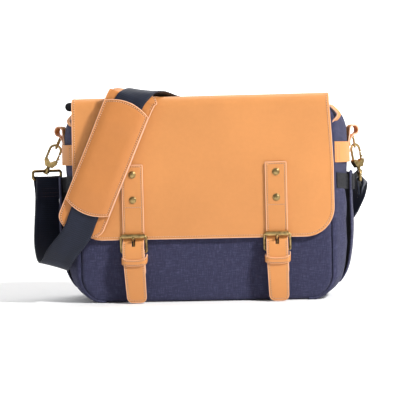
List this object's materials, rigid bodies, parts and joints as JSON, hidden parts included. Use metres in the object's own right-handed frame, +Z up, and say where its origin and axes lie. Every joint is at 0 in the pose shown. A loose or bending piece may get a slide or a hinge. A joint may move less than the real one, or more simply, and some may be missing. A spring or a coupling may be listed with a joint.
{
  "type": "messenger bag",
  "caption": "Canvas messenger bag with a leather flap, buckled magnetic closure straps, side pockets, snap hooks and a padded webbing shoulder strap.",
  "frame": {"origin": "centre of the underside of the base", "axes": "+X to the right as seen from the front, -Y out of the front panel, +Z up"},
  "size_m": [0.4512, 0.1642, 0.2803],
  "materials": {
    "canvas": "coarse navy canvas weave",
    "leather": "smooth tan leather with a fine grain",
    "brass": "antique brass, satin",
    "black_fabric": "black woven nylon",
    "webbing": "ribbed navy webbing with a light sheen",
    "lining": "grey brushed lining",
    "black_metal": "black satin paint"
  },
  "bodies": {
    "bag": {"front_panel": "canvas", "back_panel": "canvas", "left_gusset": "canvas", "right_gusset": "canvas", "base_panel": "canvas", "front_lining": "lining", "back_lining": "lining", "padded_divider": "lining", "left_side_band": "leather", "right_side_band": "leather", "left_hook_loop": "leather", "right_hook_loop": "leather", "left_pull_loop": "leather", "right_pull_loop": "leather", "left_pocket": "canvas", "right_pocket": "canvas", "left_pocket_gusset": "black_fabric", "right_pocket_gusset": "black_fabric", "left_pocket_strap": "black_fabric", "right_pocket_strap": "black_fabric", "zip_front_tape": "black_fabric", "zip_back_tape": "black_fabric", "zip_slider": "brass", "zip_end_tab": "canvas", "flap_hinge_strip": "leather", "strap_rear": "webbing", "strap_left_leg": "webbing", "left_tie_ring": "brass", "right_tie_ring": "brass", "left_ring": "brass", "right_ring": "brass", "left_snap_socket": "brass", "right_snap_socket": "brass"},
    "flap": {"flap": "leather", "flap_lining": "lining", "left_closure_strap": "leather", "right_closure_strap": "leather", "left_rivets": "brass", "right_rivets": "brass", "left_buckle_frame": "brass", "right_buckle_frame": "brass", "left_chape": "leather", "right_chape": "leather", "left_keeper": "leather", "right_keeper": "leather", "left_snap_stud": "brass", "right_snap_stud": "brass", "strap_front": "webbing", "pad_base": "leather", "pad_cover": "leather"},
    "left_roller": {"left_roller": "brass"},
    "right_roller": {"right_roller": "brass"},
    "left_prong": {"left_prong": "brass"},
    "right_prong": {"right_prong": "brass"},
    "left_hook": {"left_hook": "brass"},
    "right_hook": {"right_hook": "brass"},
    "left_gate": {"left_hook_gate": "brass"},
    "right_gate": {"right_hook_gate": "brass"},
    "slider": {"strap_slider": "black_metal"},
    "zip_pull": {"zip_pull": "brass"}
  },
  "joints": [
    {"name": "flap_hinge", "type": "hinge", "parent": "bag", "child": "flap", "pos_m": [0, 0.066, 0.264], "axis": [-1, 0, 0], "range_deg": [0, 110]},
    {"name": "left_roller_spin", "type": "hinge", "parent": "flap", "child": "left_roller", "pos_m": [-0.0935, -0.0763, 0.087], "axis": [1, 0, 0], "continuous": true},
    {"name": "left_prong_lift", "type": "hinge", "parent": "flap", "child": "left_prong", "pos_m": [-0.0935, -0.0696, 0.06605], "axis": [1, 0, 0], "range_deg": [0, 12]},
    {"name": "left_hook_swivel", "type": "hinge", "parent": "bag", "child": "left_hook", "pos_m": [-0.21366, -0.01, 0.17945], "axis": [0.4067, 0, 0.9135], "range_deg": [-8, 8]},
    {"name": "left_gate_spring", "type": "hinge", "parent": "left_hook", "child": "left_gate", "pos_m": [-0.20462, -0.00833, 0.1833], "axis": [0.221, -0.9703, -0.0984], "range_deg": [0, 22], "stiffness_Nm_per_rad": 0.02, "springref_deg": -17.19},
    {"name": "right_roller_spin", "type": "hinge", "parent": "flap", "child": "right_roller", "pos_m": [0.0935, -0.0763, 0.087], "axis": [1, 0, 0], "continuous": true},
    {"name": "right_prong_lift", "type": "hinge", "parent": "flap", "child": "right_prong", "pos_m": [0.0935, -0.0696, 0.06605], "axis": [1, 0, 0], "range_deg": [0, 12]},
    {"name": "right_hook_swivel", "type": "hinge", "parent": "bag", "child": "right_hook", "pos_m": [0.2031, -0.01, 0.16932], "axis": [-0.1564, 0, 0.9877], "range_deg": [-8, 8]},
    {"name": "right_gate_spring", "type": "hinge", "parent": "right_hook", "child": "right_gate", "pos_m": [0.20704, -0.00538, 0.17723], "axis": [0.6609, -0.7431, 0.1047], "range_deg": [0, 22], "stiffness_Nm_per_rad": 0.02, "springref_deg": -17.19},
    {"name": "slider_travel", "type": "slide", "parent": "bag", "child": "slider", "axis": [-0.3714, 0, 0.9285], "range_m": [-0.02, 0.02]},
    {"name": "zip_pull_swing", "type": "hinge", "parent": "bag", "child": "zip_pull", "pos_m": [0.136, 0.0497, 0.2565], "axis": [-1, 0, 0], "range_deg": [0, 90]}
  ]
}
